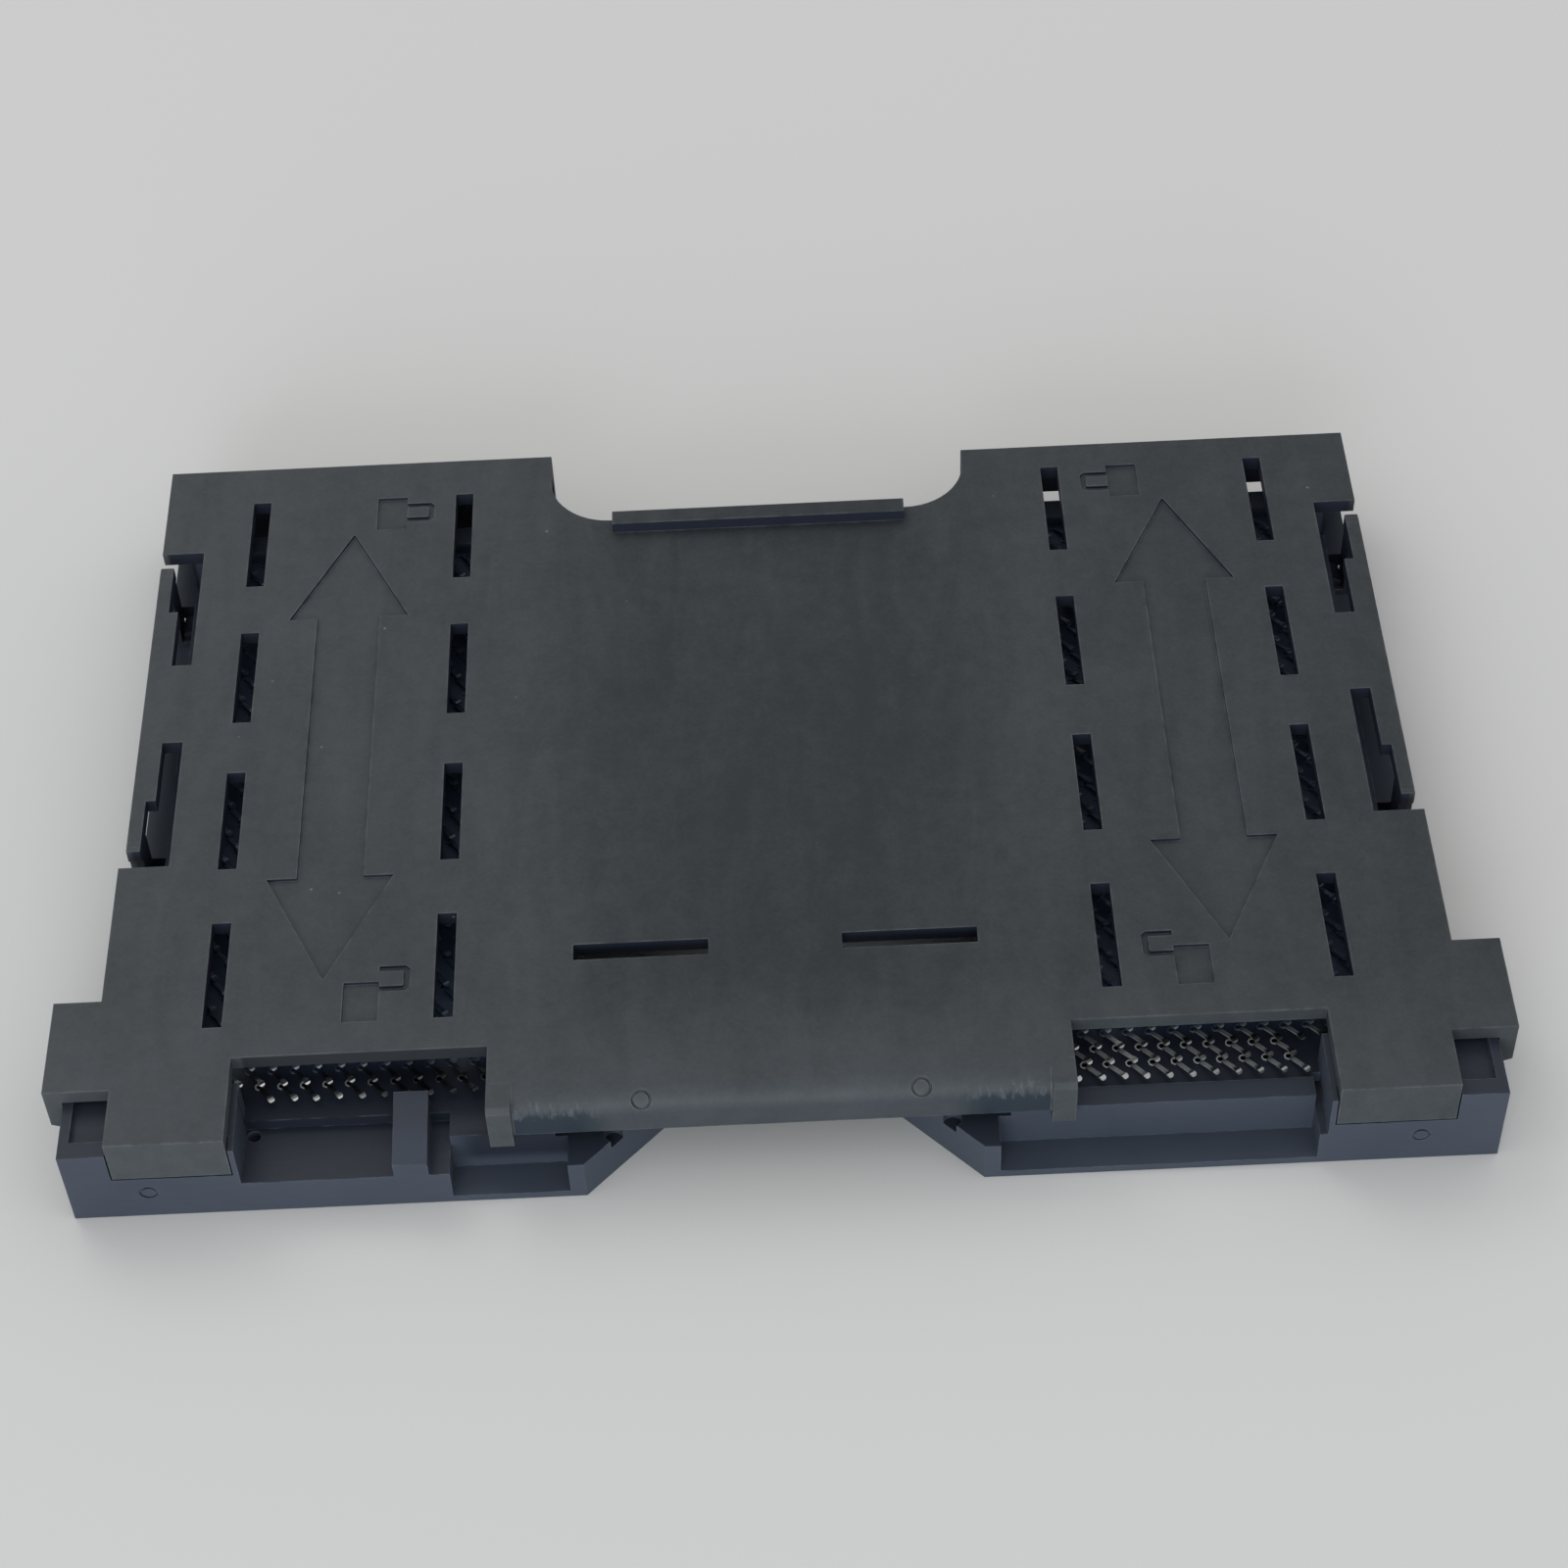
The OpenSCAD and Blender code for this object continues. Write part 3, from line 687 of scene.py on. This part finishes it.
def cap_plastic():
    material, tree, shader, place = finish("cap_plastic", Specular_IOR_Level=0.25)
    x, y, z = across_back_up(tree, place)
    middle = x.math("ABSOLUTE")
    upright = 1 - upwardness(tree).math("ABSOLUTE").between(0.3, 0.6)

    # One charcoal, with clouds, swirls and fine speckle, and painted shade that darkens it
    # towards the rear, in the middle and to the right
    flow = noise(tree, stretched(tree, place, 2.6, 13.0, 3.0), 1.0, 3, 0.5, 1.4)
    tone = noise(tree, place, 7.0, 4, 0.55) * 0.45 + flow * 0.45
    tone = tone + noise(tree, place, 0.16, 2, 0.6) * 0.45
    tone = tone + noise(tree, place, 0.8, 3, 0.6) * 0.5 - 0.17
    rear = y.between(1.0, 9.0)
    inner = 1 - (middle + flow * 2.0).between(5.0, 14.0)
    tone = tone - rear * 0.3 - rear * inner * 0.35 - x * 0.006
    body = shade(tree, tone, CHARCOAL_DARK, CHARCOAL_PALE)

    # The scuff low on the flange, with scratches along its upper edge
    scuff = middle.band(*SCUFF_X) * (1 - y.between(1.3, 1.6))
    streaks = noise(tree, stretched(tree, place, 0.22, 0.5, 0.8), 1.0, 4, 0.65)
    level = z + streaks * 1.6
    body = mix(tree, scuff * (1 - level.between(5.0, 5.4)) * 0.9, body, SCUFF_AND_SHADE_BLUE)
    scratches = scuff * streaks.between(0.52, 0.62) * level.between(5.0, 5.3)
    body = mix(tree, scratches * 0.3, body, SCRATCHED)

    # Upright faces: painted shade on the slots' walls, a dark plate's edge over the left opening,
    # and a little painted shade on the flange's face
    in_slot = upright * y.between(5.0, 5.5) * (1 - middle.between(29.1, 29.3))
    body = mix(tree, in_slot * 0.85, body, SLOT_WALL_SHADE)
    over_left = upright * y.band(*OPENING_EDGE_Y) * x.band(*LEFT_OPENING_X)
    body = mix(tree, over_left * 0.75, body, EDGE_OF_LEFT_OPENING)
    # Painted shade: the flange's face a little darker and bluer
    flange_face = upright * (1 - y.between(1.0, 1.3)) * (1 - middle.between(11.5, 11.6))
    body = mix(tree, flange_face * 0.25, body, SCUFF_AND_SHADE_BLUE)

    # Worn edges, and here and there a speck of dust
    pale_edge = edge_mask(tree, 0.16) * noise(tree, place, 0.8, 3).between(0.3, 0.65)
    pale_edge = pale_edge * (1 - in_slot) * (1 - over_left)
    cells = make(tree, "ShaderNodeTexVoronoi", None, place, Scale=1 / 1.3)
    chosen = make(tree, "ShaderNodeSeparateColor", None, cells.other("Color"))
    dust = (1 - cells.between(0.03, 0.07)) * chosen.between(0.93, 0.95)
    pale = (pale_edge * 0.35 + dust * 0.45).math("MINIMUM", 1.0)
    plug(tree, shader.inputs["Base Color"], mix(tree, pale, body, DUST_COLOUR))
    plug(tree, shader.inputs["Roughness"], 0.66 - flow * 0.12 - pale_edge * 0.1)
    grain(tree, shader, noise(tree, place, 0.10, 2, 0.6) + flow * 0.6, 0.006)
    return material


# %% [markdown]
# The housing is darker and bluer, with a finer grain, and its edges catch a thin bluish light,
# painted as a paler colour along them. Its upward faces are painted darker than its sides, as
# painted shade. The side shelves and two walls in the left recess carry the same painted shade,
# and the floor under the cap a bluer painted shade.

# %% Housing plastic
NAVY_DARK, NAVY_PALE = (0.033, 0.041, 0.057), (0.050, 0.060, 0.080)
PAINTED_SHADE_NAVY, BLUE_SHADE_UNDER_CAP = (0.010, 0.013, 0.021), (0.036, 0.054, 0.088)
NAVY_EDGE_LIGHT = (0.16, 0.19, 0.24)
RIB_STEP_Z = ((2.75, 2.8), (3.6, 3.7))
RECESS_WALL_X, RECESS_WALL_Y = ((-14.6, -13.2), (-9.4, -9.2)), ((1.3, 1.5), (1.7, 1.9))
STEP_WALL_Y = ((2.75, 2.82), (2.88, 2.95))


def housing_plastic():
    material, tree, shader, place = finish("housing_plastic", Specular_IOR_Level=0.25)
    x, y, z = across_back_up(tree, place)
    above_rim = z.between(0.6, 1.4)
    above_floor = z.between(floor_z + 0.05, floor_z + 0.3)
    clouds = noise(tree, place, 4.0, 3, 0.5)
    fibre = noise(tree, stretched(tree, place, 1.6, 0.25, 0.25), 1.0, 2, 0.5)
    body = shade(tree, clouds * 0.7 + fibre * 0.3, NAVY_DARK, NAVY_PALE)

    # Painted shade on upward faces, least of all on the key rib's
    rib = z.band(*RIB_STEP_Z) * (0.8 - y.between(0.5, 2.5) * 0.4)
    upward = upwardness(tree).between(0.6, 0.95) * (1 - rib)
    field = y.between(2.2, 2.9) * (1 - above_floor)
    body = mix(tree, upward * above_rim * (field * 0.2 + 0.75), body, PAINTED_SHADE_NAVY)

    # Painted shade: a bluer tone on the floor under the cap, and dark on the side shelves, the
    # two walls in the left recess and the step's wall
    under_cap = y.between(5.0, 6.0) * (1 - above_floor)
    body = mix(tree, under_cap * above_rim, body, BLUE_SHADE_UNDER_CAP)
    shelves = x.math("ABSOLUTE").between(27.9, 28.1) * y.between(8.0, 9.0)
    body = mix(tree, shelves * 0.85, body, PAINTED_SHADE_NAVY)
    wall = y.band(*RECESS_WALL_Y) * x.band(*RECESS_WALL_X)
    step = y.band(*STEP_WALL_Y) * upward.math("LESS_THAN", 0.5)
    step = step * (1 - x.between(-14.0, -9.0))
    body = mix(tree, (wall * 0.9 + step) * above_rim, body, PAINTED_SHADE_NAVY)

    # Painted highlight: a paler bluish colour along the edges, where they catch light
    pale_edge = edge_mask(tree, 0.1) * noise(tree, place, 0.6, 2).between(0.35, 0.7)
    plug(tree, shader.inputs["Base Color"], mix(tree, pale_edge * 0.4, body, NAVY_EDGE_LIGHT))
    plug(tree, shader.inputs["Roughness"], 0.5 - fibre * 0.1)
    grain(tree, shader, noise(tree, place, 0.07, 2, 0.6) + clouds * 0.5, 0.004)
    return material


# %% [markdown]
# The fingers are plated copper alloy. A painted highlight makes the rounded tips bright, most
# of all at the far left and beside the right leg. On the right arm the shafts and the rings are
# dull and grey, so they show as well. Under the cap all of it takes the floor's bluer painted
# shade, and inside the holes it is painted black as shade.

# %% Contact metal and solder
PLATING_DARK, PLATING_AND_HIGHLIGHT = (0.04, 0.045, 0.06), (0.74, 0.74, 0.73)
HOLE_SHADE_BLACK = (0.004, 0.004, 0.006)
RING_BAND = ((0.03, 0.06), (0.08, 0.11))
SOLDER_DARK, SOLDER_BRIGHT = (0.50, 0.51, 0.52), (0.74, 0.75, 0.76)


def contact_metal():
    material, tree, shader, place = finish("contact_metal")
    x, y, z = across_back_up(tree, place)
    height = z - floor_z

    # Where along the part
    left_end = 1 - x.between(-20.5, -16.5)
    right_arm = x.between(0.0, 8.0)
    near_leg = right_arm * (1 - x.between(13.5, 19.5))
    # Painted shade: under the cap the contacts lose their shine and take the floor's bluer tone
    under_cap = y.between(5.0, 5.6)

    # Which part of the finger
    tip = z.between(tip_z - 0.13, tip_z - 0.06)
    shaft = height.between(0.08, 0.25) * right_arm
    ring = height.band(*RING_BAND)
    # Painted highlight on the tips, strongest at the far left and beside the right leg
    shine = tip * (0.08 + left_end * 0.92 + near_leg * 0.3) + shaft * 0.28
    shine = (shine + ring * (0.3 + (right_arm + left_end) * 0.3)) * (1 - under_cap)
    dull = (shaft + ring * (right_arm + left_end)) * (1 - tip) * 0.6 + under_cap * 0.9

    tarnish = noise(tree, place, 0.35, 2)
    plated = shade(tree, shine * 0.85 + tarnish * 0.15, PLATING_DARK, PLATING_AND_HIGHLIGHT)
    # Painted shade: black inside the holes
    out_of_hole = height.between(HOLE_H, HOLE_H + 0.04)
    colour = mix(tree, out_of_hole, HOLE_SHADE_BLACK, plated)
    plug(tree, shader.inputs["Base Color"], mix(tree, under_cap, colour, BLUE_SHADE_UNDER_CAP))
    plug(tree, shader.inputs["Metallic"], 1 - dull.math("MINIMUM", 0.9))
    plug(tree, shader.inputs["Roughness"], 0.45 - z.between(floor_z, tip_z) * 0.15)
    return material


def solder():
    material, tree, shader, place = finish("solder", Metallic=1.0)
    frost = noise(tree, place, 0.12, 2)
    plug(tree, shader.inputs["Base Color"], shade(tree, frost, SOLDER_DARK, SOLDER_BRIGHT))
    plug(tree, shader.inputs["Roughness"], 0.3 + frost * 0.2)
    grain(tree, shader, frost, 0.004)
    return material


FINISHES = {"cap_plastic": cap_plastic(), "housing_plastic": housing_plastic(),
            "contact_metal": contact_metal(), "solder": solder()}
print("finishes:", ", ".join(FINISHES))

# %% [markdown]
# ## Set out the fields
# The finger leans the same way everywhere. A degree or so of jitter is enough to break the
# sparkle up, as it does on the real part.

# %% Contacts and balls in place
contact_field = field_of(finger, roots, "contact_field", FINISHES["contact_metal"],
                         LEAN, math.radians(1.5), seed=7)
solder_field = field_of(ball, tops - (0, 0, ball_r), "solder_field", FINISHES["solder"])
for pattern in (finger, ball):
    bpy.data.objects.remove(pattern)

# %% [markdown]
# ## Hand the pieces to the frame
# Each piece takes its finish, rides on its body and stands for the frame's nodes.

# %% Dress, ride and replace
def settle(piece, body, slot, nodes):
    piece.data.materials.clear()
    piece.data.materials.append(FINISHES[slot])
    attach(piece, body)
    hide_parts(*nodes)


settle(housing_piece, "housing", "housing_plastic", ["housing"])
settle(cap_piece, "cap", "cap_plastic", ["cap"])
settle(contact_field, "housing", "contact_metal", contact_rows)
settle(solder_field, "housing", "solder", ball_groups)
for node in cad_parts.values():
    node.data.materials.clear()

# %% [markdown]
# ## Floor, light and camera
# A pale floor, an even pale surround and two broad soft lamps, one of them low in front. What
# the camera, mirrors and glass see of the surround is a little brighter than the light it gives,
# so the background is pale without any extra light on the part. The floor keeps the shadow.

# %% Floor and background
FLOOR_COLOUR, FLOOR_GAP = (0.60, 0.592, 0.575, 1), 0.02 * MM
SURROUND, SURROUND_LIGHT, SEEN_EXTRA = (0.97, 0.98, 1.0, 1), 0.81, 0.04


def pale_floor():
    bpy.ops.mesh.primitive_plane_add(size=3, location=(0, 0, cad_low.z - FLOOR_GAP))
    floor = bpy.context.object
    floor.name = "floor"
    material = bpy.data.materials.new("floor_paper")
    material.use_nodes = True
    tree = material.node_tree
    shader = next(n for n in tree.nodes if n.type == "BSDF_PRINCIPLED")
    shader.inputs["Roughness"].default_value = 0.9
    shader.inputs["Base Color"].default_value = FLOOR_COLOUR
    floor.data.materials.append(material)


def pale_world():
    world = bpy.data.worlds.new("studio")
    bpy.context.scene.world = world
    world.use_nodes = True
    tree = world.node_tree
    background = next(n for n in tree.nodes if n.type == "BACKGROUND")
    rays = make(tree, "ShaderNodeLightPath")
    seen = rays.math("MAXIMUM", rays.other("Is Transmission Ray"))
    seen = seen.math("MAXIMUM", rays.other("Is Glossy Ray"))
    plug(tree, background.inputs["Strength"], seen * SEEN_EXTRA + SURROUND_LIGHT)
    background.inputs["Color"].default_value = SURROUND


pale_floor()
pale_world()


# %% Lamps
def soft_lamp(name, place, size, power, colour=(1, 1, 1)):
    lamp = bpy.data.lights.new(name, "AREA")
    lamp.shape, lamp.size, lamp.energy, lamp.color = "DISK", size, power, colour
    lamp_object = bpy.data.objects.new(name, lamp)
    bpy.context.scene.collection.objects.link(lamp_object)
    lamp_object.location = place
    lamp_object.rotation_euler = (-Vector(place)).to_track_quat("-Z", "Y").to_euler()


soft_lamp("window", (-0.22, 0.30, 0.42), 0.30, 0.35)
soft_lamp("low_front", (-0.10, -0.55, 0.12), 0.40, 2.4, (0.84, 0.93, 1.0))

# %% [markdown]
# The camera stands about 15 cm away, looks down at nearly 49 degrees and is tipped a little,
# so the part leans to the right. A long lens keeps the sides almost parallel.

# %% Camera
CAMERA_PLACE = Vector((0.997, -105.90, 122.75)) * MM
CAMERA_LOOK = Vector((-0.0019, 0.6623, -0.7493))
CAMERA_ROLL, CAMERA_LENS = math.radians(-2.745), 78.21


def add_camera():
    data = bpy.data.cameras.new("camera")
    data.lens, data.sensor_width = CAMERA_LENS, 36
    data.clip_start, data.clip_end = 0.01, 20
    camera = bpy.data.objects.new("camera", data)
    bpy.context.scene.collection.objects.link(camera)
    camera.location = CAMERA_PLACE
    turn = CAMERA_LOOK.to_track_quat("-Z", "Y").to_matrix() @ Matrix.Rotation(CAMERA_ROLL, 3, "Z")
    camera.rotation_euler = turn.to_euler()
    bpy.context.scene.camera = camera


add_camera()
bpy.context.scene.view_settings.view_transform = "Standard"
